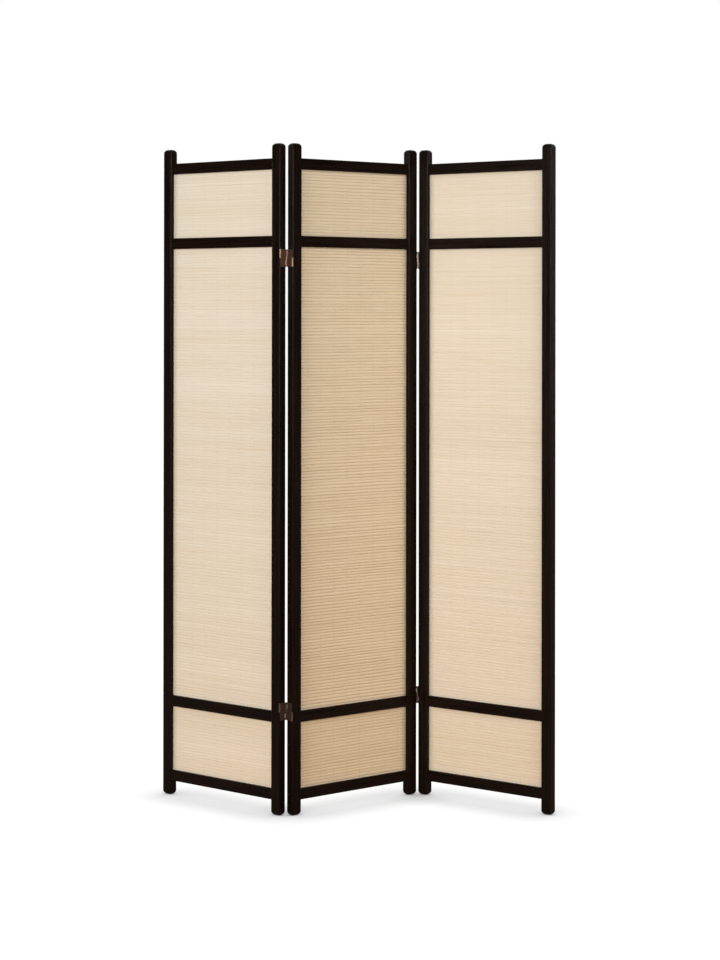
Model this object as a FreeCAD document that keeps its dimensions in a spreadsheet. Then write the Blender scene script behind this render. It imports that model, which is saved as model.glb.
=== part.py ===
"""Folding screen: three framed panels with bamboo blinds, joined by double-action cross hinges.

Units are millimetres, +Z is up and the front of the screen faces -Y. Each panel is made in its own
frame (x along its width from its left edge, y through its depth from the middle, z up from the floor)
and then stood at its own turn about Z, so that neighbouring panels share a hinge axis.
"""

import FreeCAD
import Part
import Sketcher
import os

doc = FreeCAD.newDocument("folding_screen")

# Driving dimensions
SIZES = {
    # panel frame
    "panel_width": 440,
    "panel_height": 1800,
    "post_width": 30,
    "post_depth": 24,
    "post_round": 2,
    "post_end_round": 10,
    "rail_height": 30,
    "rail_depth": 20,
    "rail_round": 2,
    "post_overhang": 40,
    "small_opening": 178,
    # blinds and the grooves that hold them
    "blind_thickness": 3.2,
    "blind_core": 1.2,
    "slat_pitch": 8.2,
    "groove_depth": 6,
    "groove_clearance": 0.1,
    "blind_end_clearance": 0.5,
    # dowels
    "dowel_diameter": 8,
    "dowel_in_post": 12,
    "dowel_in_rail": 22,
    "dowel_clearance": 0.05,
    # hinges
    "panel_gap": 4.4,
    "axis_proud": 0.75,
    "hinge_height": 47,
    "upper_hinge_drop": 308,
    "lower_hinge_rise": 278,
    "leaf_thickness": 1.2,
    "leaf_width": 19,
    "barrel_diameter": 5,
    "knuckle_length": 6,
    "knuckle_play": 0.3,
    "pin_diameter": 2.5,
    "pin_clearance": 0.05,
    "link_thickness": 1.2,
    "link_barrel_gap": 0.5,
    # screws
    "screw_spacing": 28,
    "screw_length": 14,
    "screw_diameter": 3,
    "screw_head_diameter": 5.4,
    "screw_point": 4,
    "screw_clearance": 0.05,
    # how the panels stand, in degrees
    "left_turn": -40,
    "center_turn": 40,
    "right_turn": -37.5,
}

# A section is drawn as a square of this side before its sizes are bound to the sheet
DRAFT_SIDE = 10
# Two directions are taken as parallel above this cosine, and two levels as the same within this length
PARALLEL = 0.999
SAME_LEVEL = 1e-6

sheet = doc.addObject("Spreadsheet::Sheet", "sizes")
for row, (alias, length) in enumerate(SIZES.items(), start=1):
    sheet.set(f"A{row}", alias)
    sheet.set(f"B{row}", str(length))
    sheet.setAlias(f"B{row}", alias)
doc.recompute()


def size(alias):
    """Read one driving dimension from the sheet."""
    return float(sheet.get(alias))


def amount(expression):
    """Work out an expression of the sheet as a number."""
    return float(sheet.evalExpression(expression.replace("sizes.", "")))


def bind(item, bindings):
    """Bind properties of an object to expressions of the sheet."""
    for name, expression in bindings.items():
        item.setExpression(name, expression)


# Sizes that follow from the driving dimensions, as expressions of the sheet
RAIL_LENGTH = "(sizes.panel_width - 2 * sizes.post_width)"
GROOVE_WIDTH = "(sizes.blind_thickness + 2 * sizes.groove_clearance)"
MIDDLE_OPENING = (
    "(sizes.panel_height - 2 * sizes.post_overhang"
    " - 4 * sizes.rail_height - 2 * sizes.small_opening)"
)
RAIL_BASES = {
    "bottom": "sizes.post_overhang",
    "lower": "(sizes.post_overhang + sizes.rail_height + sizes.small_opening)",
    "upper": "(sizes.panel_height - sizes.post_overhang - 2 * sizes.rail_height - sizes.small_opening)",
    "top": "(sizes.panel_height - sizes.post_overhang - sizes.rail_height)",
}
GROOVED_EDGES = {
    "bottom": ("above",),
    "lower": ("above", "below"),
    "upper": ("above", "below"),
    "top": ("below",),
}
OPENINGS = {
    "bottom": ("sizes.small_opening", RAIL_BASES["bottom"]),
    "middle": (MIDDLE_OPENING, RAIL_BASES["lower"]),
    "top": ("sizes.small_opening", RAIL_BASES["upper"]),
}
AXIS_OFFSET = "(sizes.post_depth / 2 + sizes.axis_proud)"
HINGE_LEVELS = {
    "upper": "(sizes.panel_height - sizes.upper_hinge_drop)",
    "lower": "sizes.lower_hinge_rise",
}
SCREW_LEVELS = ("- sizes.screw_spacing / 2", "+ sizes.screw_spacing / 2")
ALONG_X = FreeCAD.Rotation(FreeCAD.Vector(0, 1, 0), 90)
AGAINST_X = FreeCAD.Rotation(FreeCAD.Vector(0, 1, 0), -90)


def place(item, corner, rotation=None):
    """Set an object's rotation and bind its position to expressions of the sheet."""
    if rotation is not None:
        item.Placement = FreeCAD.Placement(FreeCAD.Vector(), rotation)
    bind(item, {f"Placement.Base.{axis}": expression for axis, expression in zip("xyz", corner)})
    return item


def box(kind, owner, name, lengths, corner):
    """Make a box, in a body or in the document, from expressions for its lengths and its corner."""
    item = owner.newObject(kind, name) if owner else doc.addObject(kind, name)
    bind(item, dict(zip(("Length", "Width", "Height"), lengths)))
    return place(item, corner)


def cylinder(kind, owner, name, diameter, height, start, rotation=None):
    """Make a cylinder, in a body or in the document, from expressions for its sizes and its start."""
    item = owner.newObject(kind, name) if owner else doc.addObject(kind, name)
    bind(item, {"Radius": f"({diameter}) / 2", "Height": height})
    return place(item, start, rotation)


def cone(name, start_diameter, end_diameter, height, start, rotation):
    """Make a cone in the document from expressions for its sizes and its start."""
    item = doc.addObject("Part::Cone", name)
    bind(item, {"Radius1": f"({start_diameter}) / 2", "Radius2": f"({end_diameter}) / 2", "Height": height})
    return place(item, start, rotation)


def fuse(name, pieces):
    """Join several document objects into one solid."""
    item = doc.addObject("Part::MultiFuse", name)
    item.Shapes = pieces
    return item


def group(name, pieces):
    """Keep several document objects together as separate solids of one node."""
    item = doc.addObject("Part::Compound", name)
    item.Links = pieces
    return item


def cut(name, base, tools):
    """Take the tools away from a document object."""
    item = doc.addObject("Part::Cut", name)
    item.Base = base
    item.Tool = group(f"{name}_tools", tools)
    return item


def edge_names(shape, wanted):
    """Name the edges of a shape for which the test holds."""
    return [f"Edge{number}" for number, edge in enumerate(shape.Edges, start=1) if wanted(edge)]


def runs_along(edge, axis):
    """Tell whether an edge is straight and runs along one axis of the frame."""
    ends = [vertex.Point for vertex in edge.Vertexes]
    if len(ends) != 2:
        return False
    along = ends[1] - ends[0]
    return abs(along.dot(axis)) > PARALLEL * along.Length


def bar(name, width, depth, height):
    """Make a body with a rectangular bar on the XY plane, its section centred on the Z axis."""
    body = doc.addObject("PartDesign::Body", name)
    sketch = body.newObject("Sketcher::SketchObject", f"{name}_section")
    plane = next(item for item in body.Origin.OriginFeatures if item.Role == "XY_Plane")
    sketch.AttachmentSupport = [(plane, "")]
    sketch.MapMode = "FlatFace"
    half = DRAFT_SIDE / 2
    signs = ((-1, -1), (1, -1), (1, 1), (-1, 1))
    corners = [FreeCAD.Vector(half * x_sign, half * y_sign, 0) for x_sign, y_sign in signs]
    for start, end in zip(corners, corners[1:] + corners[:1]):
        sketch.addGeometry(Part.LineSegment(start, end), False)
    for line in range(4):
        sketch.addConstraint(Sketcher.Constraint("Coincident", line, 2, (line + 1) % 4, 1))
        sketch.addConstraint(Sketcher.Constraint("Vertical" if line % 2 else "Horizontal", line))
    sketch.addConstraint(Sketcher.Constraint("Symmetric", 0, 1, 2, 1, -1, 1))
    width_index = sketch.addConstraint(Sketcher.Constraint("DistanceX", 0, 1, 0, 2, DRAFT_SIDE))
    depth_index = sketch.addConstraint(Sketcher.Constraint("DistanceY", 1, 1, 1, 2, DRAFT_SIDE))
    bind(sketch, {f"Constraints[{width_index}]": width, f"Constraints[{depth_index}]": depth})
    pad = body.newObject("PartDesign::Pad", f"{name}_pad")
    pad.Profile = sketch
    bind(pad, {"Length": height})
    doc.recompute()
    return body, pad


def dress(body, kind, name, base, edges, bindings):
    """Add a fillet or a chamfer to a body."""
    item = body.newObject(kind, name)
    item.Base = (base, edges)
    bind(item, bindings)
    doc.recompute()
    return item


def make_post(name, inner_side, hinged):
    """Make a post about its own middle line.

    inner_side is +1 where the blinds lie towards +X and -1 where they lie towards -X.
    """
    body, pad = bar(name, "sizes.post_width", "sizes.post_depth", "sizes.panel_height")
    upright = FreeCAD.Vector(0, 0, 1)
    rounded = dress(body, "PartDesign::Fillet", f"{name}_round", pad,
                    edge_names(pad.Shape, lambda edge: runs_along(edge, upright)),
                    {"Radius": "sizes.post_round"})
    end_faces = [f"Face{number}" for number, face in enumerate(rounded.Shape.Faces, start=1)
                 if face.BoundBox.ZLength < SAME_LEVEL]
    dress(body, "PartDesign::Fillet", f"{name}_ends", rounded, end_faces,
          {"Radius": "sizes.post_end_round"})

    inner_face = f"{inner_side} * sizes.post_width / 2"
    groove_starts = {1: "sizes.post_width / 2 - sizes.groove_depth", -1: "-sizes.post_width / 2"}
    groove_height = "sizes.panel_height - 2 * sizes.post_overhang - sizes.rail_height"
    box("PartDesign::SubtractiveBox", body, f"{name}_groove",
        ("sizes.groove_depth", GROOVE_WIDTH, groove_height),
        (groove_starts[inner_side], f"-{GROOVE_WIDTH} / 2", "sizes.post_overhang + sizes.rail_height / 2"))
    for rail, base in RAIL_BASES.items():
        cylinder("PartDesign::SubtractiveCylinder", body, f"{name}_{rail}_dowel_hole",
                 "sizes.dowel_diameter + 2 * sizes.dowel_clearance",
                 "sizes.dowel_in_post + sizes.dowel_clearance",
                 (inner_face, "0", f"{base} + sizes.rail_height / 2"),
                 AGAINST_X if inner_side > 0 else ALONG_X)
    if hinged:
        outer_face = f"{-inner_side} * sizes.post_width / 2"
        for level, height in HINGE_LEVELS.items():
            for number, offset in enumerate(SCREW_LEVELS, start=1):
                cylinder("PartDesign::SubtractiveCylinder", body, f"{name}_{level}_pilot_{number}",
                         "sizes.screw_diameter + 2 * sizes.screw_clearance",
                         "sizes.screw_length - sizes.leaf_thickness + sizes.screw_clearance",
                         (outer_face, "0", f"{height} {offset}"),
                         ALONG_X if inner_side > 0 else AGAINST_X)
    return body


def make_rail(name, rail):
    """Make a rail about its own middle, its length along Z of the bar until it is laid along X."""
    body, pad = bar(name, "sizes.rail_height", "sizes.rail_depth", RAIL_LENGTH)
    lengthwise = FreeCAD.Vector(0, 0, 1)
    dress(body, "PartDesign::Fillet", f"{name}_round", pad,
          edge_names(pad.Shape, lambda edge: runs_along(edge, lengthwise)), {"Radius": "sizes.rail_round"})
    # laid along +X by a turn about Y, the bar's -X side becomes the top of the rail
    groove_starts = {
        "above": "-sizes.rail_height / 2",
        "below": "sizes.rail_height / 2 - sizes.groove_depth",
    }
    for edge in GROOVED_EDGES[rail]:
        box("PartDesign::SubtractiveBox", body, f"{name}_groove_{edge}",
            ("sizes.groove_depth", GROOVE_WIDTH, RAIL_LENGTH),
            (groove_starts[edge], f"-{GROOVE_WIDTH} / 2", "0"))
    hole_depth = "sizes.dowel_in_rail + sizes.dowel_clearance"
    for end, start in (("left", "0"), ("right", f"{RAIL_LENGTH} - ({hole_depth})")):
        cylinder("PartDesign::SubtractiveCylinder", body, f"{name}_{end}_dowel_hole",
                 "sizes.dowel_diameter + 2 * sizes.dowel_clearance", hole_depth, ("0", "0", start))
    return body


def make_blind(name, opening_height):
    """Make a blind about the middle of its opening: slats side by side, each one bowed front and back."""
    tuck = size("groove_depth") - size("blind_end_clearance")
    width = size("panel_width") - 2 * size("post_width") + 2 * tuck
    height = opening_height + 2 * tuck
    count = max(1, round(height / size("slat_pitch")))
    pitch = height / count
    edge_y = size("blind_core") / 2
    crown_y = size("blind_thickness") / 2
    left_end = -width / 2
    levels = [pitch * number - height / 2 for number in range(count + 1)]

    def slat_side(low, high, side):
        start = FreeCAD.Vector(left_end, side * edge_y, low)
        crown = FreeCAD.Vector(left_end, side * crown_y, (low + high) / 2)
        end = FreeCAD.Vector(left_end, side * edge_y, high)
        return Part.Arc(start, crown, end).toShape()

    front = [slat_side(low, high, -1) for low, high in zip(levels, levels[1:])]
    back = [slat_side(low, high, 1) for low, high in zip(levels, levels[1:])]
    ends = [Part.makeLine(FreeCAD.Vector(left_end, -edge_y, level),
                          FreeCAD.Vector(left_end, edge_y, level))
            for level in (levels[0], levels[-1])]
    outline = Part.Wire(Part.__sortEdges__(front + [ends[1]] + back[::-1] + [ends[0]]))
    blind = doc.addObject("Part::Feature", name)
    blind.Shape = Part.Face(outline).extrude(FreeCAD.Vector(width, 0, 0))
    return blind


def make_dowels(name):
    """Make the dowels of one panel, in the panel's own frame."""
    dowels = []
    starts = {
        "left": "sizes.post_width - sizes.dowel_in_post",
        "right": "sizes.panel_width - sizes.post_width - sizes.dowel_in_rail",
    }
    for rail, base in RAIL_BASES.items():
        for end, start in starts.items():
            dowels.append(cylinder("Part::Cylinder", None, f"{name}_{rail}_{end}", "sizes.dowel_diameter",
                                   "sizes.dowel_in_post + sizes.dowel_in_rail",
                                   (start, "0", f"{base} + sizes.rail_height / 2"), ALONG_X))
    return group(name, dowels)


# Hinge pieces are made about the middle of the hinge: x across the gap, y through the depth, z up.
# The left-hand leaf carries the front barrel above the middle and the rear barrel below it. The
# right-hand leaf is the same piece turned half round about Y, and so is the lower link.
HALF_HEIGHT = "(sizes.hinge_height / 2)"
KNUCKLE_STARTS = ("sizes.knuckle_play / 2", f"{HALF_HEIGHT} - sizes.knuckle_length")
LINK_KNUCKLE_START = "(sizes.knuckle_play * 1.5 + sizes.knuckle_length)"
LINK_KNUCKLE_LENGTH = f"({HALF_HEIGHT} - sizes.knuckle_length - sizes.knuckle_play - {LINK_KNUCKLE_START})"
BORE = "sizes.pin_diameter + 2 * sizes.pin_clearance"
POST_FACE = "-sizes.panel_gap / 2"
HEAD_FACE = f"{POST_FACE} + sizes.leaf_thickness"
HALF_TURN = FreeCAD.Rotation(FreeCAD.Vector(0, 1, 0), 180)
UPPER_FRONT = ("front", f"-{AXIS_OFFSET}", "upper")
UPPER_REAR = ("rear", AXIS_OFFSET, "upper")
LOWER_REAR = ("rear", AXIS_OFFSET, "lower")
LOWER_FRONT = ("front", f"-{AXIS_OFFSET}", "lower")


def raised(start, length, half):
    """Give the z at which a length starts, in the hinge's upper half or mirrored into its lower half."""
    return f"{start}" if half == "upper" else f"-({start}) - ({length})"


def make_leaf(name):
    """Make a left-hand hinge leaf: a plate with two front knuckles above and two rear knuckles below."""
    pieces = [box("Part::Box", None, f"{name}_plate",
                  ("sizes.leaf_thickness", "sizes.leaf_width", "sizes.hinge_height"),
                  (POST_FACE, "-sizes.leaf_width / 2", f"-{HALF_HEIGHT}"))]
    bores = []
    for side, axis_y, half in (UPPER_FRONT, LOWER_REAR):
        strap_y = axis_y if side == "front" else "0"
        for number, start in enumerate(KNUCKLE_STARTS, start=1):
            low = raised(start, "sizes.knuckle_length", half)
            pieces.append(box("Part::Box", None, f"{name}_{side}_strap_{number}",
                              ("sizes.leaf_thickness", AXIS_OFFSET, "sizes.knuckle_length"),
                              (POST_FACE, strap_y, low)))
            pieces.append(cylinder("Part::Cylinder", None, f"{name}_{side}_knuckle_{number}",
                                   "sizes.barrel_diameter", "sizes.knuckle_length", ("0", axis_y, low)))
        bores.append(cylinder("Part::Cylinder", None, f"{name}_{side}_bore", BORE, HALF_HEIGHT,
                              ("0", axis_y, raised("0", HALF_HEIGHT, half))))
    for number, offset in enumerate(SCREW_LEVELS, start=1):
        bores.append(cone(f"{name}_countersink_{number}",
                          "sizes.screw_head_diameter + 2 * sizes.screw_clearance",
                          "sizes.screw_diameter + 2 * sizes.screw_clearance",
                          "sizes.leaf_thickness", (HEAD_FACE, "0", f"0 {offset}"), AGAINST_X))
    return cut(name, fuse(f"{name}_solid", pieces), bores)


def make_link(name):
    """Make an upper link: a plate through the gap with a knuckle at its front and at its rear."""
    plate_width = f"(2 * {AXIS_OFFSET} - sizes.barrel_diameter - 2 * sizes.link_barrel_gap)"
    pieces = [
        box("Part::Box", None, f"{name}_plate",
            ("sizes.link_thickness", plate_width, f"{HALF_HEIGHT} - sizes.knuckle_play / 2"),
            ("-sizes.link_thickness / 2", f"-{plate_width} / 2", "sizes.knuckle_play / 2")),
        box("Part::Box", None, f"{name}_neck",
            ("sizes.link_thickness", f"2 * {AXIS_OFFSET}", LINK_KNUCKLE_LENGTH),
            ("-sizes.link_thickness / 2", f"-{AXIS_OFFSET}", LINK_KNUCKLE_START)),
    ]
    bores = []
    for side, axis_y, _ in (UPPER_FRONT, UPPER_REAR):
        pieces.append(cylinder("Part::Cylinder", None, f"{name}_{side}_knuckle", "sizes.barrel_diameter",
                               LINK_KNUCKLE_LENGTH, ("0", axis_y, LINK_KNUCKLE_START)))
        bores.append(cylinder("Part::Cylinder", None, f"{name}_{side}_bore", BORE, HALF_HEIGHT,
                              ("0", axis_y, "0")))
    return cut(name, fuse(f"{name}_solid", pieces), bores)


def make_pins(name, barrels):
    """Make one pin for each of the barrels given, at both hinge levels, in the frame of the joint."""
    length = f"({HALF_HEIGHT} - sizes.knuckle_play / 2)"
    pins = []
    for level, height in HINGE_LEVELS.items():
        for side, axis_y, half in barrels:
            low = raised("sizes.knuckle_play / 2", length, half)
            pins.append(cylinder("Part::Cylinder", None, f"{name}_{level}_{half}_{side}",
                                 "sizes.pin_diameter", length, ("0", axis_y, f"{height} + ({low})")))
    return group(name, pins)


def make_screws(name):
    """Make the screws of one left-hand post, at both hinge levels, in the frame of the joint."""
    shank = "(sizes.screw_length - sizes.screw_point)"
    screws = []
    for level, height in HINGE_LEVELS.items():
        for number, offset in enumerate(SCREW_LEVELS, start=1):
            label = f"{name}_{level}_{number}"
            z = f"{height} {offset}"
            head = cone(f"{label}_head", "sizes.screw_head_diameter", "sizes.screw_diameter",
                        "sizes.leaf_thickness", (HEAD_FACE, "0", z), AGAINST_X)
            body = cylinder("Part::Cylinder", None, f"{label}_shank", "sizes.screw_diameter", shank,
                            (HEAD_FACE, "0", z), AGAINST_X)
            point = cone(f"{label}_point", "sizes.screw_diameter", "sizes.screw_diameter / 4",
                         "sizes.screw_point", (f"{HEAD_FACE} - {shank}", "0", z), AGAINST_X)
            screws.append(fuse(label, [head, body, point]))
    return group(name, screws)


# Where each panel and each joint stands
def panel_placement(turn, local_point, world_point):
    """Turn a panel about Z and bring one of its points to a point of the shared frame."""
    rotation = FreeCAD.Rotation(FreeCAD.Vector(0, 0, 1), turn)
    return FreeCAD.Placement(world_point - rotation.multVec(local_point), rotation)


rear = amount(AXIS_OFFSET)
left_edge = -size("panel_gap") / 2
right_edge = size("panel_width") + size("panel_gap") / 2
LEFT_JOINT = FreeCAD.Placement(FreeCAD.Vector(left_edge, 0, 0), FreeCAD.Rotation())
RIGHT_JOINT = FreeCAD.Placement(FreeCAD.Vector(right_edge, 0, 0), FreeCAD.Rotation())

center = panel_placement(size("center_turn"), FreeCAD.Vector(), FreeCAD.Vector())
left_axis = center.multVec(FreeCAD.Vector(left_edge, rear, 0))
right_axis = center.multVec(FreeCAD.Vector(right_edge, -rear, 0))
PANELS = {
    "left": panel_placement(size("left_turn"), FreeCAD.Vector(right_edge, rear, 0), left_axis),
    "center": center,
    "right": panel_placement(size("right_turn"), FreeCAD.Vector(left_edge, -rear, 0), right_axis),
}
HINGED_POSTS = {"left": ("right",), "center": ("left", "right"), "right": ("left",)}

nodes = []


def stand(item, panel, local):
    """Keep an object as a node of the screen, at its place in a panel."""
    item.Placement = PANELS[panel].multiply(local)
    item.Label = item.Name
    nodes.append((item, panel))


def at(x=0, y=0, z=0, rotation=FreeCAD.Rotation()):
    """Give a placement in a panel's frame."""
    return FreeCAD.Placement(FreeCAD.Vector(x, y, z), rotation)


def build_panel(panel):
    """Build one panel: its posts, rails, blinds and dowels."""
    width = size("panel_width")
    half_post = size("post_width") / 2
    for side, x, inner_side in (("left", half_post, 1), ("right", width - half_post, -1)):
        post = make_post(f"{panel}_panel_{side}_post", inner_side, side in HINGED_POSTS[panel])
        stand(post, panel, at(x))
    for rail, base in RAIL_BASES.items():
        middle = amount(base) + size("rail_height") / 2
        stand(make_rail(f"{panel}_panel_{rail}_rail", rail), panel,
              at(size("post_width"), 0, middle, ALONG_X))
    for blind, (opening, rail_base) in OPENINGS.items():
        height = amount(opening)
        middle = amount(rail_base) + size("rail_height") + height / 2
        stand(make_blind(f"{panel}_panel_{blind}_blind", height), panel, at(width / 2, 0, middle))
    stand(make_dowels(f"{panel}_panel_dowels"), panel, at())


def build_joint(joint, left_panel, right_panel, link_panels, edge_of):
    """Build the two hinges of one joint, with their pins and screws.

    edge_of gives, for each panel, the joint's place in that panel's frame.
    """
    roles = {panel: "center" if panel == "center" else "outer" for panel in (left_panel, right_panel)}
    for level, height in HINGE_LEVELS.items():
        up = at(z=amount(height))
        down = at(z=amount(height), rotation=HALF_TURN)
        for panel, pose in ((left_panel, up), (right_panel, down)):
            leaf = make_leaf(f"{joint}_{level}_hinge_{roles[panel]}_leaf")
            stand(leaf, panel, edge_of[panel].multiply(pose))
        for panel, pose in zip(link_panels, (up, down)):
            link = make_link(f"{joint}_{level}_hinge_{roles[panel]}_link")
            stand(link, panel, edge_of[panel].multiply(pose))
    barrels = {left_panel: (UPPER_FRONT, LOWER_REAR), right_panel: (UPPER_REAR, LOWER_FRONT)}
    for panel in (left_panel, right_panel):
        stand(make_pins(f"{joint}_joint_{roles[panel]}_pins", barrels[panel]), panel, edge_of[panel])
    stand(make_screws(f"{joint}_joint_{roles[left_panel]}_screws"), left_panel, edge_of[left_panel])
    facing_right = FreeCAD.Rotation(FreeCAD.Vector(0, 0, 1), 180)
    stand(make_screws(f"{joint}_joint_{roles[right_panel]}_screws"), right_panel,
          edge_of[right_panel].multiply(at(rotation=facing_right)))


for panel in PANELS:
    build_panel(panel)
build_joint("left", "left", "center", ("left", "center"), {"left": RIGHT_JOINT, "center": LEFT_JOINT})
build_joint("right", "center", "right", ("right", "center"), {"center": RIGHT_JOINT, "right": LEFT_JOINT})
doc.recompute()

# Bring the middle of the screen's footprint to the origin
span = FreeCAD.BoundBox()
for item, panel in nodes:
    span.add(item.Shape.optimalBoundingBox(False))
shift = FreeCAD.Vector(-span.Center.x, -span.Center.y, -span.ZMin)
for item, panel in nodes:
    item.Placement = FreeCAD.Placement(shift, FreeCAD.Rotation()).multiply(item.Placement)
doc.recompute()

for item in doc.Objects:
    if "Invalid" in item.State or "Error" in item.State:
        raise RuntimeError(f"{item.Name} did not recompute: {item.State}")
os.makedirs("parts", exist_ok=True)
for item, panel in nodes:
    if item.Shape.isNull() or not item.Shape.isValid():
        raise RuntimeError(f"{item.Name} has no valid shape")
    item.Shape.exportStep(f"parts/{item.Label}.step")
for name, axis in (("left fold axis", left_axis), ("right fold axis", right_axis)):
    print(name, [round(number, 4) for number in axis + shift])
overall = (span.XLength, span.YLength, span.ZLength)
print(len(nodes), "nodes, overall", [round(number, 2) for number in overall])
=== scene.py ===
"""Looks of the folding screen: dark stained frames, split-bamboo blinds and bronzed cross hinges.

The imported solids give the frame. Posts, rails, dowels and the hinges' leaves, links, pins and screws keep
their own meshes and get finishes here. Each blind is replaced by separate bowed slats, twined together by
cotton threads. All lengths are in metres and the front of the screen faces -Y.
"""

import logging
import math
import random
from dataclasses import dataclass
from enum import Enum
from typing import Callable, Iterator, Sequence

import bpy
from mathutils import Euler, Matrix, Vector, noise


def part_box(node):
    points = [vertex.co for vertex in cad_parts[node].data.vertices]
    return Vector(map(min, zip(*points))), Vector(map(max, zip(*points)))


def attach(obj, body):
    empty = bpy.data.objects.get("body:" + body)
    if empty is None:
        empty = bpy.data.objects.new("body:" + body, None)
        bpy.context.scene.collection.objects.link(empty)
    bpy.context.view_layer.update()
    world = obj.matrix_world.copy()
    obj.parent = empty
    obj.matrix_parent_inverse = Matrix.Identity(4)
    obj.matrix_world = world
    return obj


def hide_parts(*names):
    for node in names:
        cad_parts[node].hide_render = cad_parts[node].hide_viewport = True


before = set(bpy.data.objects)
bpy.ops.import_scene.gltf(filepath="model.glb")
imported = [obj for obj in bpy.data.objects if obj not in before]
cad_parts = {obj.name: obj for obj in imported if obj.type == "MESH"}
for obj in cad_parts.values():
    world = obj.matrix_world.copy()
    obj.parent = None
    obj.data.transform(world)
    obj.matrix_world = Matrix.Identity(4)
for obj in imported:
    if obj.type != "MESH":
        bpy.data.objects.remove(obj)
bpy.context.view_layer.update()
LOG = logging.getLogger("folding_screen")

Colour = tuple[float, float, float]
Spot = tuple[float, float, float]
Uv = tuple[float, float]
Socket = bpy.types.NodeSocket

# A slat's U is set off by this much on its inner side, so that the bamboo can tell its two sides apart.
INNER_SIDE = 10.0
# A slat's V stays this far from the whole numbers at its edges, so that rounding never changes its number.
V_MARGIN = 0.02
UV_LAYER = "UVMap"


class Panel(Enum):
    """The three panels, by the first word of their nodes' names."""

    LEFT = "left"
    CENTER = "center"
    RIGHT = "right"

    @property
    def body(self) -> str:
        """Name the body that the panel's pieces ride on."""
        return f"{self.value}_panel"


class Place(Enum):
    """The three blinds of a panel, with the rails below and above each one."""

    TOP = ("top", "upper", "top")
    MIDDLE = ("middle", "lower", "upper")
    BOTTOM = ("bottom", "bottom", "lower")

    @property
    def label(self) -> str:
        """Give the word that names the blind."""
        return self.value[0]


class Grain(Enum):
    """The way the grain of a wooden piece runs, as the turn that lays it along Z."""

    UPRIGHT = 0.0
    LENGTHWISE = math.radians(90)


def srgb(red: int, green: int, blue: int) -> Colour:
    """Turn a colour written in display values into the linear values that shaders take.

    Args:
        red: red from 0 to 255.
        green: green from 0 to 255.
        blue: blue from 0 to 255.

    Returns:
        The linear colour.
    """
    def linear(value: int) -> float:
        share = value / 255
        return share / 12.92 if share <= 0.04045 else ((share + 0.055) / 1.055) ** 2.4

    return linear(red), linear(green), linear(blue)


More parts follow.
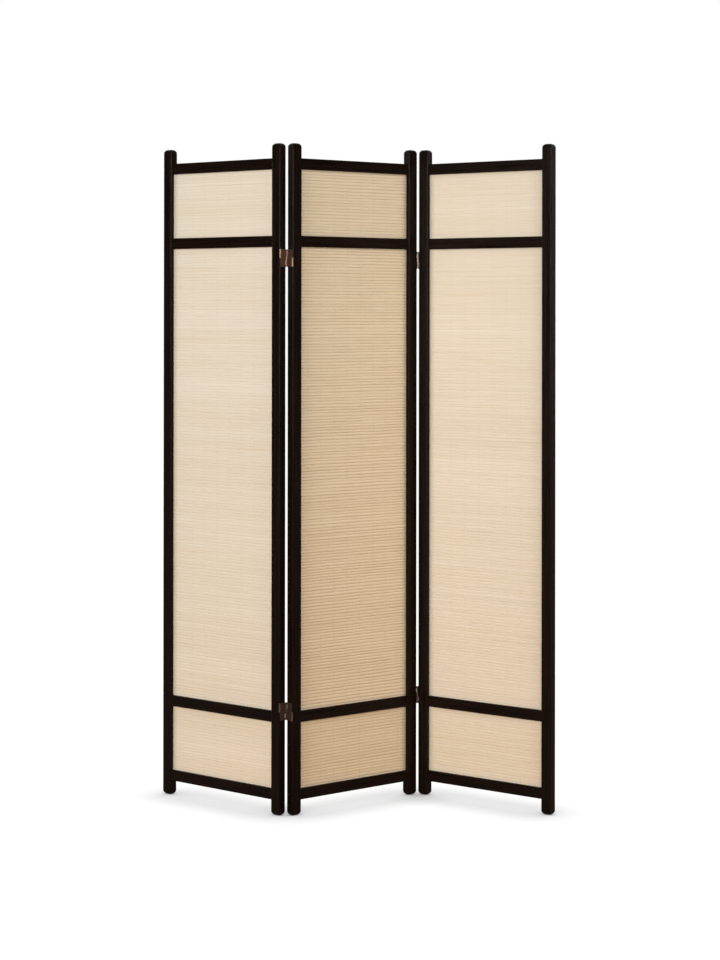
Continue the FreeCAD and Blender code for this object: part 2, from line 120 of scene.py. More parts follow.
class Graph:
    """A node tree with short ways to add nodes and to link them."""

    def __init__(self, tree: bpy.types.NodeTree) -> None:
        """Start from a tree.

        Args:
            tree: the tree that nodes are added to.
        """
        self.tree = tree

    def feed(self, target: Socket, value: object) -> None:
        """Set one input.

        Args:
            target: the input socket.
            value: a number or colour for it, or an output socket to link to it.
        """
        if isinstance(value, Socket):
            self.tree.links.new(value, target)
        else:
            target.default_value = value

    def set_inputs(self, node: bpy.types.Node, values: dict) -> None:
        """Set several inputs of a node.

        Args:
            node: the node to set.
            values: the number, colour or socket for each input.
        """
        for socket, value in values.items():
            self.feed(node.inputs[socket], value)

    def add(self, kind: str, values: dict | None = None, **settings: object) -> bpy.types.Node:
        """Add a node.

        Args:
            kind: the node's type name.
            values: the number, colour or socket for each input that is set.
            settings: properties of the node.

        Returns:
            The new node.
        """
        node = self.tree.nodes.new(kind)
        for name, setting in settings.items():
            setattr(node, name, setting)
        self.set_inputs(node, values or {})
        return node

    def group(self, tree: bpy.types.NodeTree, values: dict) -> bpy.types.Node:
        """Add a node that holds a group.

        Args:
            tree: the group's tree.
            values: the number or socket for each of its inputs.

        Returns:
            The new node.
        """
        return self.add("ShaderNodeGroup", values, node_tree=tree)

    def math(self, operation: str, first: object, second: object = 0.0) -> Socket:
        """Work out one sum of two values.

        Args:
            operation: the Math node's operation.
            first: a number or a socket.
            second: a number or a socket.

        Returns:
            The socket that holds the result.
        """
        return self.add("ShaderNodeMath", {0: first, 1: second}, operation=operation).outputs[0]

    def weigh(self, first: tuple[Socket, float], *others: tuple[Socket, float]) -> Socket:
        """Add up values by their weights.

        Args:
            first: a socket and its weight.
            others: more sockets with theirs.

        Returns:
            The socket that holds the result.
        """
        total = self.math("MULTIPLY", *first)
        for other in others:
            total = self.math("ADD", total, self.math("MULTIPLY", *other))
        return total

    def remap(self, value: Socket, start: float = 0.0, end: float = 1.0,
              low: float = 0.0, high: float = 1.0) -> Socket:
        """Stretch a value from one range over another, and stop it at the ends.

        Args:
            value: the socket to stretch.
            start: the value that gives low.
            end: the value that gives high.
            low: the result at the start.
            high: the result at the end.

        Returns:
            The socket that holds the result.
        """
        ranges = {"From Min": start, "From Max": end, "To Min": low, "To Max": high}
        return self.add("ShaderNodeMapRange", {"Value": value, **ranges}).outputs["Result"]

    def cloud(self, place: Socket, scale: float, detail: float,
              roughness: float = 0.5, distortion: float = 0.0) -> Socket:
        """Add cloudy noise.

        Args:
            place: the socket with the place to read it at.
            scale: how fine it is.
            detail: how many finer layers it has.
            roughness: how strong those layers are.
            distortion: how far it is bent.

        Returns:
            The socket that holds the noise.
        """
        values = {"Scale": scale, "Detail": detail, "Roughness": roughness, "Distortion": distortion}
        return self.add("ShaderNodeTexNoise", {"Vector": place, **values}).outputs["Fac"]

    def bump(self, height: Socket, strength: float, depth: float) -> Socket:
        """Turn heights into a bumpy normal.

        Args:
            height: the socket with the heights.
            strength: how much of the bump shows.
            depth: how far a height of 1 stands out.

        Returns:
            The socket that holds the normal.
        """
        values = {"Height": height, "Strength": strength, "Distance": depth}
        return self.add("ShaderNodeBump", values).outputs[0]

    def mix(self, share: Socket, first: object, second: object) -> Socket:
        """Mix two colours.

        Args:
            share: how much of the second colour shows.
            first: a colour or a socket.
            second: a colour or a socket.

        Returns:
            The socket that holds the mixed colour.
        """
        node = self.add("ShaderNodeMix", data_type="RGBA")
        inputs = {item.identifier: item for item in node.inputs}
        for socket, value in (("Factor_Float", share), ("A_Color", first), ("B_Color", second)):
            self.feed(inputs[socket], (*value, 1.0) if isinstance(value, tuple) else value)
        return next(item for item in node.outputs if item.identifier == "Result_Color")


def node_group(name: str, numbers: dict[str, float], outputs: Sequence[str],
               fill: Callable[[Graph, bpy.types.Node], dict[str, Socket]]) -> bpy.types.NodeTree:
    """Make a shader node group once, and give the same one back later.

    Args:
        name: the group's name.
        numbers: the numbers that it takes besides its Vector, with their defaults.
        outputs: the names of the numbers that it puts out.
        fill: builds the inside and gives back the socket behind each output.

    Returns:
        The group's tree.
    """
    if name in bpy.data.node_groups:
        return bpy.data.node_groups[name]
    tree = bpy.data.node_groups.new(name, "ShaderNodeTree")
    tree.interface.new_socket("Vector", in_out="INPUT", socket_type="NodeSocketVector")
    for socket, default in numbers.items():
        item = tree.interface.new_socket(socket, in_out="INPUT", socket_type="NodeSocketFloat")
        item.default_value = default
    for socket in outputs:
        tree.interface.new_socket(socket, in_out="OUTPUT", socket_type="NodeSocketFloat")
    graph = Graph(tree)
    entry = graph.add("NodeGroupInput")
    graph.add("NodeGroupOutput", fill(graph, entry))
    return tree


def grain_group() -> bpy.types.NodeTree:
    """Make the group for fibre that runs along Z.

    Returns:
        A group that puts out broad streaks and fine fibre, each from 0 to 1.
    """
    def fill(graph: Graph, entry: bpy.types.Node) -> dict[str, Socket]:
        def stretched(finer_across: float, finer_along: float, detail: float) -> Socket:
            across = graph.math("MULTIPLY", entry.outputs["Across"], finer_across)
            along = graph.math("MULTIPLY", entry.outputs["Along"], finer_along)
            scale = graph.add("ShaderNodeCombineXYZ", {"X": across, "Y": across, "Z": along}).outputs[0]
            place = graph.add("ShaderNodeVectorMath", {0: entry.outputs["Vector"], 1: scale},
                              operation="MULTIPLY").outputs[0]
            cloud = graph.cloud(place, scale=1.0, detail=detail, roughness=0.6, distortion=0.4)
            return graph.remap(cloud, start=0.3, end=0.7)

        return {
            "Streak": stretched(finer_across=1.0, finer_along=1.0, detail=3.0),
            "Fibre": stretched(finer_across=7.0, finer_along=4.0, detail=5.0),
        }

    return node_group("wood_grain", {"Across": 120.0, "Along": 4.0}, ("Streak", "Fibre"), fill)


def dust_group() -> bpy.types.NodeTree:
    """Make the group for dust that settles on surfaces that face up.

    Returns:
        A group that puts out a dust mask from 0 to its amount.
    """
    def fill(graph: Graph, entry: bpy.types.Node) -> dict[str, Socket]:
        normal = graph.add("ShaderNodeNewGeometry").outputs["Normal"]
        up = graph.add("ShaderNodeSeparateXYZ", {0: normal}).outputs["Z"]
        facing_up = graph.remap(up, start=0.3, end=1.0)
        cloud = graph.cloud(entry.outputs["Vector"], scale=60.0, detail=4.0)
        speckled = graph.math("MULTIPLY", facing_up, cloud)
        return {"Mask": graph.math("MULTIPLY", speckled, entry.outputs["Amount"])}

    return node_group("settled_dust", {"Amount": 0.1}, ("Mask",), fill)


def wear_group() -> bpy.types.NodeTree:
    """Make the group for edges that handling has rubbed, where a highlight is painted too.

    Returns:
        A group that puts out a mask from 0 on flat faces to its amount on rubbed edges, with their painted
        highlight.
    """
    def fill(graph: Graph, entry: bpy.types.Node) -> dict[str, Socket]:
        # The mask marks edges both for rubbed wear and for a painted highlight.
        eased = graph.add("ShaderNodeBevel", {"Radius": entry.outputs["Radius"]}, samples=6).outputs[0]
        faced = graph.add("ShaderNodeNewGeometry").outputs["Normal"]
        agreement = graph.add("ShaderNodeVectorMath", {0: eased, 1: faced}, operation="DOT_PRODUCT")
        edge = graph.remap(agreement.outputs["Value"], start=0.99, end=0.88)
        cloud = graph.cloud(entry.outputs["Vector"], scale=28.0, detail=4.0)
        patchy = graph.math("MULTIPLY", edge, graph.remap(cloud, start=0.35, end=0.65))
        return {"Mask": graph.math("MULTIPLY", patchy, entry.outputs["Amount"])}

    return node_group("rubbed_edges", {"Radius": 0.003, "Amount": 0.5}, ("Mask",), fill)


def new_material(name: str) -> tuple[Graph, bpy.types.Node]:
    """Start a material with a Principled shader on its output.

    Args:
        name: the material's name.

    Returns:
        The material's graph and its shader node.
    """
    material = bpy.data.materials.new(name)
    material.use_nodes = True
    material.node_tree.nodes.clear()
    graph = Graph(material.node_tree)
    shader = graph.add("ShaderNodeBsdfPrincipled")
    graph.add("ShaderNodeOutputMaterial", {"Surface": shader.outputs[0]})
    return graph, shader


def read_uv(graph: Graph) -> tuple[Socket, Socket]:
    """Read a mesh's own UV.

    Args:
        graph: the material's graph.

    Returns:
        The sockets that hold U and V.
    """
    uv = graph.add("ShaderNodeUVMap", uv_map=UV_LAYER).outputs[0]
    parts = graph.add("ShaderNodeSeparateXYZ", {0: uv})
    return parts.outputs["X"], parts.outputs["Y"]


@dataclass(frozen=True)
class StainedWood:
    """A wooden finish with grain, satin varnish, rubbed edges lightened partly as a painted highlight, and
    a little settled dust.
    """

    name: str
    deep: Colour
    light: Colour
    rubbed: Colour
    wear: float
    dust: Colour
    dust_amount: float
    smooth: float
    rough: float
    gloss: float
    wear_reach: float = 0.003
    across: float = 140.0
    along: float = 5.0
    fibre_share: float = 0.35
    bump_strength: float = 0.5
    bump_depth: float = 0.00012

    def material(self, turn: float, grain: Grain) -> bpy.types.Material:
        """Make the material for pieces of one panel.

        Args:
            turn: the panel's turn about Z.
            grain: the way the grain runs in the piece.

        Returns:
            The material, which is made only once for each turn and grain.
        """
        name = f"{self.name}_{grain.name.lower()}_{math.degrees(turn):.0f}"
        if name in bpy.data.materials:
            return bpy.data.materials[name]
        graph, shader = new_material(name)
        laid = Matrix.Rotation(grain.value, 3, "Y") @ Matrix.Rotation(-turn, 3, "Z")
        local = graph.add("ShaderNodeTexCoord").outputs["Object"]
        place = graph.add("ShaderNodeMapping", {"Vector": local, "Rotation": laid.to_euler("XYZ")})
        wood = graph.group(grain_group(), {
            "Vector": place.outputs[0],
            "Across": self.across,
            "Along": self.along,
        })
        fibre, streak = wood.outputs["Fibre"], wood.outputs["Streak"]
        dusty = graph.group(dust_group(), {"Vector": local, "Amount": self.dust_amount})
        worn_and_highlit = graph.group(wear_group(), {"Vector": local, "Radius": self.wear_reach, "Amount": self.wear})
        streaked = graph.weigh((fibre, self.fibre_share), (streak, 1 - self.fibre_share))
        colour = graph.mix(streaked, self.deep, self.light)
        # Rubbed edges: lighter partly from wear and partly as a painted highlight.
        colour = graph.mix(worn_and_highlit.outputs["Mask"], colour, self.rubbed)
        graph.set_inputs(shader, {
            "Base Color": graph.mix(dusty.outputs["Mask"], colour, self.dust),
            "Roughness": graph.remap(streaked, low=self.smooth, high=self.rough),
            "Normal": graph.bump(fibre, self.bump_strength, self.bump_depth),
            "Specular IOR Level": self.gloss,
        })
        return bpy.data.materials[name]


@dataclass(frozen=True)
class BronzedMetal:
    """A dark copper-bronze plating, finely brushed, mottled and a little rubbed at its edges, where a
    highlight is painted too.
    """

    name: str
    dark: Colour
    bright: Colour
    rubbed: Colour
    wear: float = 0.4
    wear_reach: float = 0.0008
    smooth: float = 0.16
    rough: float = 0.3
    mottle_scale: float = 160.0
    brush_across: float = 900.0
    brush_along: float = 80.0
    bump_strength: float = 0.25
    bump_depth: float = 0.00005

    def material(self) -> bpy.types.Material:
        """Make the material, or give back the one made before.

        Returns:
            The material.
        """
        if self.name in bpy.data.materials:
            return bpy.data.materials[self.name]
        graph, shader = new_material(self.name)
        local = graph.add("ShaderNodeTexCoord").outputs["Object"]
        cloud = graph.cloud(local, self.mottle_scale, detail=5.0, roughness=0.65)
        mottled = graph.remap(cloud, start=0.35, end=0.65)
        brushed = graph.group(grain_group(), {
            "Vector": local,
            "Across": self.brush_across,
            "Along": self.brush_along,
        })
        # Rubbed edges: lighter partly from wear and partly as a painted highlight on the barrels.
        worn_and_highlit = graph.group(wear_group(), {"Vector": local, "Radius": self.wear_reach, "Amount": self.wear})
        colour = graph.mix(mottled, self.dark, self.bright)
        graph.set_inputs(shader, {
            "Base Color": graph.mix(worn_and_highlit.outputs["Mask"], colour, self.rubbed),
            "Roughness": graph.remap(brushed.outputs["Streak"], low=self.smooth, high=self.rough),
            "Normal": graph.bump(brushed.outputs["Fibre"], self.bump_strength, self.bump_depth),
            "Metallic": 1.0,
        })
        return bpy.data.materials[self.name]


@dataclass(frozen=True)
class SplitBamboo:
    """Natural split bamboo. Each slat has its own tone, and fibres and faint stains run along it.

    On its inner side, shade is painted along a slat's two edges, in the creases next to the other slats.
    """

    name: str
    skin_pale: Colour
    skin_warm: Colour
    inner_pale: Colour
    inner_warm: Colour
    stain: Colour
    # Painted shade along the slats' edges, in the creases between them: its colour, reach and strength.
    seam: Colour
    seam_width: float = 0.22
    seam_depth: float = 0.42
    seam_faint: float = 0.35
    seam_strong: float = 1.5
    smooth: float = 0.52
    rough: float = 0.72
    gloss: float = 0.25
    across: float = 1.6
    along: float = 9.0
    slat_stride: float = 7.3
    own_share: float = 0.2
    band_share: float = 0.6
    streak_share: float = 0.2
    band_scale: float = 0.06
    stain_scale: float = 3.0
    stain_start: float = 0.6
    stain_full: float = 0.8
    stain_amount: float = 0.5
    cloud_detail: float = 2.0
    bump_strength: float = 0.4
    bump_depth: float = 0.0001

    def material(self) -> bpy.types.Material:
        """Make the material.

        U runs along the slat in metres, set off by INNER_SIDE on its inner side, and V counts the slats.

        Returns:
            The material.
        """
        graph, shader = new_material(self.name)
        along, count = read_uv(graph)
        index = graph.math("FLOOR", count)
        own = graph.add("ShaderNodeTexWhiteNoise", {"W": index}, noise_dimensions="1D").outputs["Value"]
        bands = {"W": count, "Scale": self.band_scale, "Detail": self.cloud_detail}
        band = graph.add("ShaderNodeTexNoise", bands, noise_dimensions="1D").outputs["Fac"]
        apart = graph.math("MULTIPLY", index, self.slat_stride)
        place = graph.add("ShaderNodeCombineXYZ", {"X": count, "Y": apart, "Z": along}).outputs[0]
        grain = graph.group(grain_group(), {"Vector": place, "Across": self.across, "Along": self.along})
        fibre, streak = grain.outputs["Fibre"], grain.outputs["Streak"]
        tone = graph.weigh((own, self.own_share), (band, self.band_share), (streak, self.streak_share))
        cloud = graph.cloud(place, self.stain_scale, self.cloud_detail)
        stained = graph.remap(cloud, self.stain_start, self.stain_full, high=self.stain_amount)
        inner = graph.math("GREATER_THAN", along, INNER_SIDE / 2)
        pale = graph.mix(inner, self.skin_pale, self.inner_pale)
        warm = graph.mix(inner, self.skin_warm, self.inner_warm)
        colour = graph.mix(stained, graph.mix(tone, pale, warm), self.stain)
        # Painted shade: the inner side darkens along each slat's edges, where the creases between slats
        # are.
        rim = graph.math("PINGPONG", count, 0.5)
        seam = graph.remap(rim, V_MARGIN, self.seam_width, low=self.seam_depth, high=0.0)
        broken = graph.remap(streak, low=self.seam_faint, high=self.seam_strong)
        shaded = graph.math("MULTIPLY", graph.math("MULTIPLY", seam, broken), inner)
        graph.set_inputs(shader, {
            "Base Color": graph.mix(shaded, colour, self.seam),
            "Roughness": graph.remap(fibre, low=self.smooth, high=self.rough),
            "Normal": graph.bump(fibre, self.bump_strength, self.bump_depth),
            "Specular IOR Level": self.gloss,
        })
        return bpy.data.materials[self.name]


@dataclass(frozen=True)
class CottonThread:
    """A dull twisted cotton thread."""

    name: str
    pale: Colour
    dark: Colour
    twist: float = 900.0
    rough: float = 0.9
    gloss: float = 0.1
    bump_strength: float = 0.6
    bump_depth: float = 0.0001

    def material(self) -> bpy.types.Material:
        """Make the material.

        U runs along the thread in metres, and V goes once round it.

        Returns:
            The material.
        """
        graph, shader = new_material(self.name)
        along, around = read_uv(graph)
        spiral = graph.math("ADD", graph.math("MULTIPLY", along, self.twist), around)
        strand = graph.remap(graph.math("PINGPONG", spiral, 0.5), end=0.5)
        graph.set_inputs(shader, {
            "Base Color": graph.mix(strand, self.dark, self.pale),
            "Roughness": self.rough,
            "Normal": graph.bump(strand, self.bump_strength, self.bump_depth),
            "Specular IOR Level": self.gloss,
        })
        return bpy.data.materials[self.name]


# The rubbed colours stand for wear and for a painted highlight along the edges.
FRAME_WOOD = StainedWood("dark_stained_wood", deep=srgb(8, 4, 3), light=srgb(28, 16, 9),
                         rubbed=srgb(66, 46, 34), wear=0.5, dust=srgb(96, 84, 74), dust_amount=0.03,
                         smooth=0.22, rough=0.34, gloss=0.085)
DOWEL_WOOD = StainedWood("dowel_wood", deep=srgb(178, 140, 96), light=srgb(212, 178, 132),
                         rubbed=srgb(220, 190, 146), wear=0.3, dust=srgb(200, 190, 180), dust_amount=0.0,
                         smooth=0.6, rough=0.75, gloss=0.25)
HINGE_METAL = BronzedMetal("bronzed_metal", dark=srgb(11, 5, 3), bright=srgb(27, 14, 9),
                           rubbed=srgb(100, 75, 64))
# The seam colour is painted shade for the creases between slats.
BAMBOO = SplitBamboo("split_bamboo", skin_pale=srgb(226, 214, 197), skin_warm=srgb(213, 198, 174),
                     inner_pale=srgb(226, 208, 180), inner_warm=srgb(212, 192, 163),
                     stain=srgb(196, 168, 130), seam=srgb(146, 116, 80))
THREAD = CottonThread("cotton_thread", pale=srgb(212, 194, 164), dark=srgb(184, 162, 130))


def new_object(name: str, points: Sequence[Vector], faces: Sequence[Sequence[int]], uvs: Sequence[Uv],
               material: bpy.types.Material) -> bpy.types.Object:
    """Make a smooth mesh object with one material.

    Args:
        name: the object's name.
        points: its points.
        faces: its faces, as point numbers.
        uvs: the UV of each point.
        material: its material.

    Returns:
        The object, in the scene.
    """
    mesh = bpy.data.meshes.new(name)
    mesh.from_pydata(points, [], faces)
    layer = mesh.uv_layers.new(name=UV_LAYER)
    corners = [0] * len(mesh.loops)
    mesh.loops.foreach_get("vertex_index", corners)
    layer.data.foreach_set("uv", [value for corner in corners for value in uvs[corner]])
    mesh.polygons.foreach_set("use_smooth", [True] * len(mesh.polygons))
    mesh.materials.append(material)
    mesh.update()
    item = bpy.data.objects.new(name, mesh)
    bpy.context.scene.collection.objects.link(item)
    return item


class MeshDraft:
    """Points, faces and UVs that grow tube by tube."""

    def __init__(self) -> None:
        """Start empty."""
        self.points: list[Vector] = []
        self.faces: list[tuple[int, ...]] = []
        self.uvs: list[Uv] = []

    def tube(self, rings: Sequence[Sequence[Vector]], uvs: Sequence[Sequence[Uv]]) -> None:
        """Add a closed tube through rings of the same count.

        Args:
            rings: the points of each ring.
            uvs: the UV of each point.
        """
        start = len(self.points)
        size = len(rings[0])
        for ring, ring_uvs in zip(rings, uvs):
            self.points.extend(ring)
            self.uvs.extend(ring_uvs)
        for row in range(len(rings) - 1):
            low = start + row * size
            high = low + size
            for step in range(size):
                following = (step + 1) % size
                self.faces.append((low + step, low + following, high + following, high + step))
        last = start + (len(rings) - 1) * size
        self.faces.append(tuple(range(start + size - 1, start - 1, -1)))
        self.faces.append(tuple(range(last, last + size)))

    def build(self, name: str, to_world: Matrix, material: bpy.types.Material) -> bpy.types.Object:
        """Make the object.

        Args:
            name: the object's name.
            to_world: takes the draft's frame to the shared frame.
            material: the object's material.

        Returns:
            The object, with its place in its mesh.
        """
        points = [to_world @ point for point in self.points]
        return new_object(name, points, self.faces, self.uvs, material)


@dataclass(frozen=True)
class PanelPlace:
    """Where a panel stands: x along its width from the middle, y through its depth, z up."""

    panel: Panel
    middle: Vector
    turn: float
    post_spacing: float

    @classmethod
    def read(cls, panel: Panel) -> "PanelPlace":
        """Read a panel's place from its posts.

        Args:
            panel: the panel.

        Returns:
            The panel's place.
        """
        ends = []
        for side in ("left", "right"):
            low, high = (Vector(corner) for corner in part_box(f"{panel.value}_panel_{side}_post"))
            ends.append((low + high) / 2)
        across = ends[1] - ends[0]
        middle = (ends[0] + ends[1]) / 2
        turn = math.atan2(across.y, across.x)
        return cls(panel, Vector((middle.x, middle.y, 0.0)), turn, across.length)

    @property
    def to_world(self) -> Matrix:
        """Give the matrix from the panel's frame to the shared frame."""
        return Matrix.Translation(self.middle) @ Matrix.Rotation(self.turn, 4, "Z")


@dataclass
class Blind:
    """One blind: bowed bamboo slats side by side, twined together by pairs of threads.

    The inner side of a slat has the inner crown in a middle blind and the small crown in the others. The
    waves of the billow and the sway say how fast each changes along a slat, up the blind and from blind
    to blind.
    """

    place: PanelPlace
    where: Place
    number: int
    post_width: float = 0.030
    tuck: float = 0.0055
    slat_pitch: float = 0.0082
    width_spread: float = 0.14
    slat_gap: float = 0.00006
    gap_least: float = 0.4
    gap_most: float = 1.6
    skin_crown: float = 0.0009
    skin_power: float = 8.0
    inner_crown: float = 0.0018
    small_crown: float = 0.0012
    crown_spread: float = 0.4
    inner_power: float = 2.2
    edge: float = 0.0004
    section_shares: tuple[float, ...] = (0.0, 0.04, 0.12, 0.26, 0.42, 0.58, 0.74, 0.88, 0.96, 1.0)
    stations: int = 16
    slat_numbers: int = 500
    tilt: float = math.radians(1.5)
    jitter: float = 0.00012
    billow: float = 0.0004
    billow_waves: Spot = (7.0, 3.0, 5.1)
    sway: float = 0.0007
    sway_waves: Spot = (11.0, 16.0, 9.7)
    thread_spacing: float = 0.046
    thread_radius: float = 0.0002
    thread_steps: int = 4
    thread_sides: int = 5

    def __post_init__(self) -> None:
        """Read the opening from the rails and settle each slat's level.

        The skin faces the back on the centre panel and the front on the other two.
        """
        panel = self.place.panel.value
        _, below, above = self.where.value
        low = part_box(f"{panel}_panel_{below}_rail")[1][2] - self.tuck
        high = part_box(f"{panel}_panel_{above}_rail")[0][2] + self.tuck
        count = round((high - low) / self.slat_pitch)
        self.length = self.place.post_spacing - self.post_width + 2 * self.tuck
        self.skin_side = 1 if self.place.panel is Panel.CENTER else -1
        self.chance = random.Random(self.number)
        shares = [1 + self.chance.uniform(-1, 1) * self.width_spread for _ in range(count)]
        self.heights = [(high - low) * share / sum(shares) for share in shares]
        self.fullness: list[float] = []
        self.levels: list[float] = []
        foot = low
        for height in self.heights:
            self.levels.append(foot + height / 2)
            foot += height

    @property
    def name(self) -> str:
        """Name the blind as its node is named."""
        return f"{self.place.panel.value}_panel_{self.where.label}_blind"

    @property
    def core(self) -> float:
        """Give the depth of the line between the slats' two sides."""
        return self.skin_side * (self.inner_crown - self.skin_crown) / 2

    def wave(self, x: float, level: float, waves: Spot) -> float:
        """Give a smooth wave at a point.

        Args:
            x: the place along the slat.
            level: the slat's level.
            waves: how fast it changes along the slat, up the blind and from blind to blind.

        Returns:
            The wave, from -1 to 1.
        """
        return noise.noise(Vector((x * waves[0], level * waves[1], self.number * waves[2])))

    def drift(self, x: float, level: float) -> tuple[float, float]:
        """Give how far the blind leaves its line at a point.

        Args:
            x: the place along the slat.
            level: the slat's level.

        Returns:
            How far it billows through the depth, less near the posts, and how far it sways up.
        """
        free = math.sqrt(max(0.0, 1 - (2 * x / self.length) ** 2))
        out = self.wave(x, level, self.billow_waves) * self.billow * free
        up = self.wave(x, level, self.sway_waves) * self.sway
        return out, up

    def crown(self, side: int, fullness: float) -> float:
        """Give how far a slat's crown stands off its core.

        Args:
            side: -1 for its front and 1 for its back.
            fullness: how much of the usual crown its inner side has.

        Returns:
            The crown of the skin or of the inner side, whichever faces that way.
        """
        if side == self.skin_side:
            return self.skin_crown
        return fullness * (self.inner_crown if self.where is Place.MIDDLE else self.small_crown)

    def section(self, height: float, fullness: float) -> Iterator[tuple[float, float, float, float]]:
        """Give the section of a slat, up its smooth skin side and down its rounder inner side.

        Args:
            height: the slat's height.
            fullness: how much of the usual crown its inner side has.

        Yields:
            Each point's depth, height about the middle, set-off of its U and share of the height.
        """
        skin = (self.skin_side, self.skin_power, 0.0, self.section_shares)
        inner = (-self.skin_side, self.inner_power, INNER_SIDE, self.section_shares[::-1])
        for side, power, set_off, shares in (skin, inner):
            for share in shares:
                bow = 1 - abs(2 * share - 1) ** power
                depth = self.core + side * (self.edge + (self.crown(side, fullness) - self.edge) * bow)
                yield depth, (share - 0.5) * height, set_off, share

    def build_slats(self, material: bpy.types.Material) -> bpy.types.Object:
        """Make the slats.

        Args:
            material: the bamboo.

        Returns:
            The slats, as one object.
        """
        draft = MeshDraft()
        v_span = 1 - 2 * V_MARGIN
        for slat, level in enumerate(self.levels):
            height = self.heights[slat] - self.slat_gap * self.chance.uniform(self.gap_least, self.gap_most)
            fullness = 1 - self.chance.random() * self.crown_spread
            self.fullness.append(fullness)
            depth_shift = self.chance.uniform(-1, 1) * self.jitter
            lean = math.tan(self.chance.uniform(-1, 1) * self.tilt)
            profile = list(self.section(height, fullness))
            first_v = self.number * self.slat_numbers + slat + V_MARGIN
            rings, uvs = [], []
            for station in range(self.stations + 1):
                x = self.length * (station / self.stations - 0.5)
                out, up = self.drift(x, level)
                rings.append([Vector((x, y + lean * z + out + depth_shift, level + z + up))
                              for y, z, _, _ in profile])
                uvs.append([(x + set_off, first_v + v_span * share) for _, _, set_off, share in profile])
            draft.tube(rings, uvs)
        return draft.build(f"{self.name}_slats", self.place.to_world, material)

    def build_threads(self, material: bpy.types.Material) -> bpy.types.Object:
        """Make the pairs of threads, each one in front of one slat and behind the next.

        Args:
            material: the cotton.

        Returns:
            The threads, as one object.
        """
        draft = MeshDraft()
        lines = round((self.length - 2 * self.tuck) / self.thread_spacing)
        for line in range(lines):
            x = (line + 0.5 - lines / 2) * self.thread_spacing
            for start_side in (-1, 1):
                draft.tube(*self.thread_rings(x + start_side * self.thread_radius, start_side))
        return draft.build(f"{self.name}_threads", self.place.to_world, material)

    def thread_rings(self, x: float, start_side: int) -> tuple[list[list[Vector]], list[list[Uv]]]:
        """Lay one thread up the blind.

        Args:
            x: the thread's place along the slats.
            start_side: -1 where it starts in front and 1 where it starts behind.

        Returns:
            The rings of the thread and their UVs.
        """
        rings, uvs = [], []
        for slat, level in enumerate(self.levels):
            out, up = self.drift(x, level)
            facing = start_side * (-1) ** slat
            reach = self.crown(facing, self.fullness[slat]) + self.thread_radius
            for step in range(self.thread_steps):
                share = step / self.thread_steps - 0.5
                y = out + self.core + facing * reach * math.cos(math.pi * share)
                z = level + up + share * self.heights[slat]
                ring, ring_uvs = [], []
                for side in range(self.thread_sides):
                    angle = 2 * math.pi * side / self.thread_sides
                    spoke = Vector((math.cos(angle), math.sin(angle), 0.0)) * self.thread_radius
                    ring.append(Vector((x, y, z)) + spoke)
                    ring_uvs.append((z, side / self.thread_sides))
                rings.append(ring)
                uvs.append(ring_uvs)
        return rings, uvs

    def build(self) -> None:
        """Make the slats and threads, put them on the panel's body and hide the blind's node."""
        slats = self.build_slats(bpy.data.materials[BAMBOO.name])
        threads = self.build_threads(bpy.data.materials[THREAD.name])
        for piece in (slats, threads):
            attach(piece, self.place.panel.body)
            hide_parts(self.name)
            LOG.info("%s: %d faces", piece.name, len(piece.data.polygons))


def give(item: bpy.types.Object, material: bpy.types.Material) -> None:
    """Put one material on every slot of an object.

    Args:
        item: the object.
        material: the material.
    """
    for slot in item.material_slots:
        slot.material = material
    LOG.info("%s: %s", item.name, material.name)


@dataclass
class PanelFrame:
    """The posts, rails and dowels of one panel, which keep their own meshes."""

    place: PanelPlace

    def dress(self) -> None:
        """Give each wooden node its finish, with the grain along the piece."""
        for name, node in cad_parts.items():
            if not name.startswith(self.place.panel.body):
                continue
            if name.endswith("_post"):
                give(node, FRAME_WOOD.material(self.place.turn, Grain.UPRIGHT))
            elif name.endswith("_rail"):
                give(node, FRAME_WOOD.material(self.place.turn, Grain.LENGTHWISE))
            elif name.endswith("_dowels"):
                give(node, DOWEL_WOOD.material(self.place.turn, Grain.LENGTHWISE))


@dataclass
class Hinges:
    """The leaves, links, pins and screws of both joints, which keep their own meshes."""

    words: tuple[str, ...] = ("_leaf", "_link", "_pins", "_screws")

    def dress(self) -> None:
        """Give each metal node its finish."""
        for name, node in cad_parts.items():
            if name.endswith(self.words):
                give(node, HINGE_METAL.material())


@dataclass(frozen=True)
class Softbox:
    """A square soft lamp with its power in watts, which the camera doesn't see."""

    name: str
    place: Spot
    size: float
    power: float
    aim: Spot = (0.0, 0.0, 1.0)

    def build(self) -> None:
        """Put the lamp in the scene, turned to the point that it faces."""
        lamp = bpy.data.lights.new(self.name, "AREA")
        lamp.shape = "SQUARE"
        lamp.size = self.size
        lamp.energy = self.power
        item = bpy.data.objects.new(self.name, lamp)
        item.location = self.place
        item.rotation_euler = (Vector(self.aim) - Vector(self.place)).to_track_quat("-Z", "Y").to_euler()
        item.visible_camera = False
        bpy.context.scene.collection.objects.link(item)


# The key light stands at the front left, weaker lamps at the right, and two light the back.
SOFTBOXES = (
    Softbox("key_light", (-4.0, -4.6, 2.2), size=2.4, power=276.0),
    Softbox("fill_light", (3.8, -4.0, 2.2), size=1.6, power=128.0),
    Softbox("top_light", (1.3, -2.0, 2.9), size=1.4, power=8.0, aim=(0.1, 0.0, 1.1)),
    Softbox("back_light", (3.2, 4.8, 2.2), size=3.0, power=270.0),
    Softbox("back_fill", (-4.0, 3.8, 2.4), size=1.6, power=130.0),
)


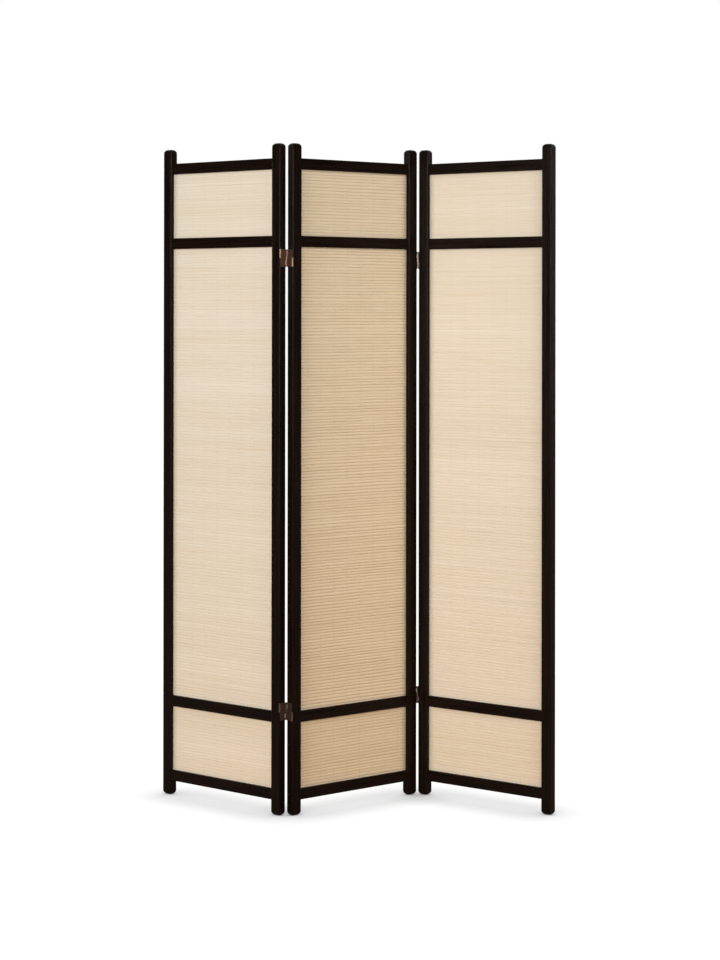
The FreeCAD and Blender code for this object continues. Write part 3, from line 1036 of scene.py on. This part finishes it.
@dataclass
class Studio:
    """A white studio: a pale floor with a painted shadow under the screen, soft light and the photograph's
    camera.
    """

    floor_size: float = 40.0
    floor_own_light: float = 1.0
    floor_mirrored: float = 0.25
    floor_shadow_reach: float = 0.15
    floor_colour: Colour = (0.04, 0.04, 0.04)
    near_bounce: Colour = (0.55, 0.27, 0.0)
    far_bounce: Colour = (0.35, 0.33, 0.3)
    bounce_middle: Spot = (0.3, -0.4, 0.0)
    bounce_near: float = 0.6
    bounce_reach: float = 2.0
    ambient: float = 0.32
    room: float = 0.03
    backdrop_from: float = 0.15
    backdrop_full: float = 0.6
    image_height: int = 960
    focal_pixels: float = 2271.5
    horizon_row: float = 308.6
    camera_place: Spot = (0.0468, -6.2192, 1.3569)
    camera_turn: float = math.radians(0.322)
    camera_roll: float = math.radians(0.076)
    camera_depth: float = 100.0
    sensor: float = 36.0

    def floor_material(self) -> bpy.types.Material:
        """Make the floor's material.

        Its own glow shows white, with a painted shadow where ambient occlusion finds the screen close, and
        grey in reflections. Near the screen it throws back a warm light.

        Returns:
            The material.
        """
        material = bpy.data.materials.new("studio_floor")
        material.use_nodes = True
        material.node_tree.nodes.clear()
        graph = Graph(material.node_tree)
        path = graph.add("ShaderNodeLightPath").outputs
        matte = graph.add("ShaderNodeBsdfDiffuse", {"Color": (*self.floor_colour, 1.0)})
        # Painted shadow: ambient occlusion darkens the floor's own glow under the screen.
        painted_shadow = graph.add("ShaderNodeAmbientOcclusion", {"Distance": self.floor_shadow_reach})
        shown = graph.remap(path["Is Glossy Ray"], low=self.floor_own_light, high=self.floor_mirrored)
        own_light = graph.math("MULTIPLY", painted_shadow.outputs["AO"], shown)
        own = graph.add("ShaderNodeEmission", {"Strength": own_light})
        both = graph.add("ShaderNodeAddShader", {0: matte.outputs[0], 1: own.outputs[0]})
        spot = graph.add("ShaderNodeNewGeometry").outputs["Position"]
        reach = graph.add("ShaderNodeVectorMath", {0: spot, 1: self.bounce_middle}, operation="DISTANCE")
        away = graph.remap(reach.outputs["Value"], self.bounce_near, self.bounce_reach)
        tint = graph.mix(away, self.near_bounce, self.far_bounce)
        bounce = graph.add("ShaderNodeBsdfDiffuse", {"Color": tint})
        seen = graph.math("MAXIMUM", path["Is Camera Ray"], path["Is Transmission Ray"])
        seen = graph.math("MAXIMUM", seen, path["Is Glossy Ray"])
        choice = graph.add("ShaderNodeMixShader", {0: seen, 1: bounce.outputs[0], 2: both.outputs[0]})
        graph.add("ShaderNodeOutputMaterial", {"Surface": choice.outputs[0]})
        return material

    def build_floor(self) -> None:
        """Lay the floor."""
        half = self.floor_size / 2
        uvs = [(0.0, 0.0), (1.0, 0.0), (1.0, 1.0), (0.0, 1.0)]
        corners = [Vector((self.floor_size * u - half, self.floor_size * v - half, 0.0)) for u, v in uvs]
        floor = new_object("studio_floor", corners, [(0, 1, 2, 3)], uvs, self.floor_material())

    def build_world(self) -> None:
        """Make the world: a white backdrop, which the reflections show too, and soft light from all round.

        The room on the camera's side of the screen is darker in the reflections.
        """
        world = bpy.data.worlds.new("studio")
        world.use_nodes = True
        world.node_tree.nodes.clear()
        graph = Graph(world.node_tree)
        path = graph.add("ShaderNodeLightPath").outputs
        direction = graph.add("ShaderNodeTexCoord").outputs["Generated"]
        depth = graph.add("ShaderNodeSeparateXYZ", {0: direction}).outputs["Y"]
        backdrop = graph.remap(depth, self.backdrop_from, self.backdrop_full, low=self.room)
        mirrored = graph.math("MULTIPLY", path["Is Glossy Ray"], backdrop)
        seen = graph.math("MAXIMUM", path["Is Camera Ray"], path["Is Transmission Ray"])
        lit = graph.math("MULTIPLY", path["Is Diffuse Ray"], self.ambient)
        strength = graph.math("MAXIMUM", graph.math("MAXIMUM", seen, mirrored), lit)
        sky = graph.add("ShaderNodeBackground", {"Color": (1.0, 1.0, 1.0, 1.0), "Strength": strength})
        graph.add("ShaderNodeOutputWorld", {"Surface": sky.outputs[0]})
        bpy.context.scene.world = world

    def build_camera(self) -> None:
        """Place the camera as it was fitted to the photograph."""
        data = bpy.data.cameras.new("camera")
        data.sensor_fit = "VERTICAL"
        data.sensor_height = self.sensor
        data.lens = self.focal_pixels / self.image_height * self.sensor
        data.shift_y = (self.horizon_row - self.image_height / 2) / self.image_height
        data.clip_end = self.camera_depth
        camera = bpy.data.objects.new("camera", data)
        level = Euler((math.radians(90), 0.0, self.camera_turn)).to_matrix().to_4x4()
        rolled = Matrix.Rotation(self.camera_roll, 4, "Z")
        camera.matrix_world = Matrix.Translation(self.camera_place) @ level @ rolled
        bpy.context.scene.collection.objects.link(camera)
        bpy.context.scene.camera = camera

    def build(self) -> None:
        """Set up the whole studio."""
        bpy.context.scene.view_settings.view_transform = "Standard"
        self.build_floor()
        self.build_world()
        for softbox in SOFTBOXES:
            softbox.build()
        self.build_camera()


def main() -> None:
    """Build the screen's looks and the studio."""
    logging.basicConfig(level=logging.INFO, format="%(name)s: %(message)s")
    BAMBOO.material()
    THREAD.material()
    number = 0
    for panel in Panel:
        place = PanelPlace.read(panel)
        PanelFrame(place).dress()
        for where in Place:
            number += 1
            Blind(place, where, number).build()
    Hinges().dress()
    Studio().build()


if __name__ == "__main__":
    main()
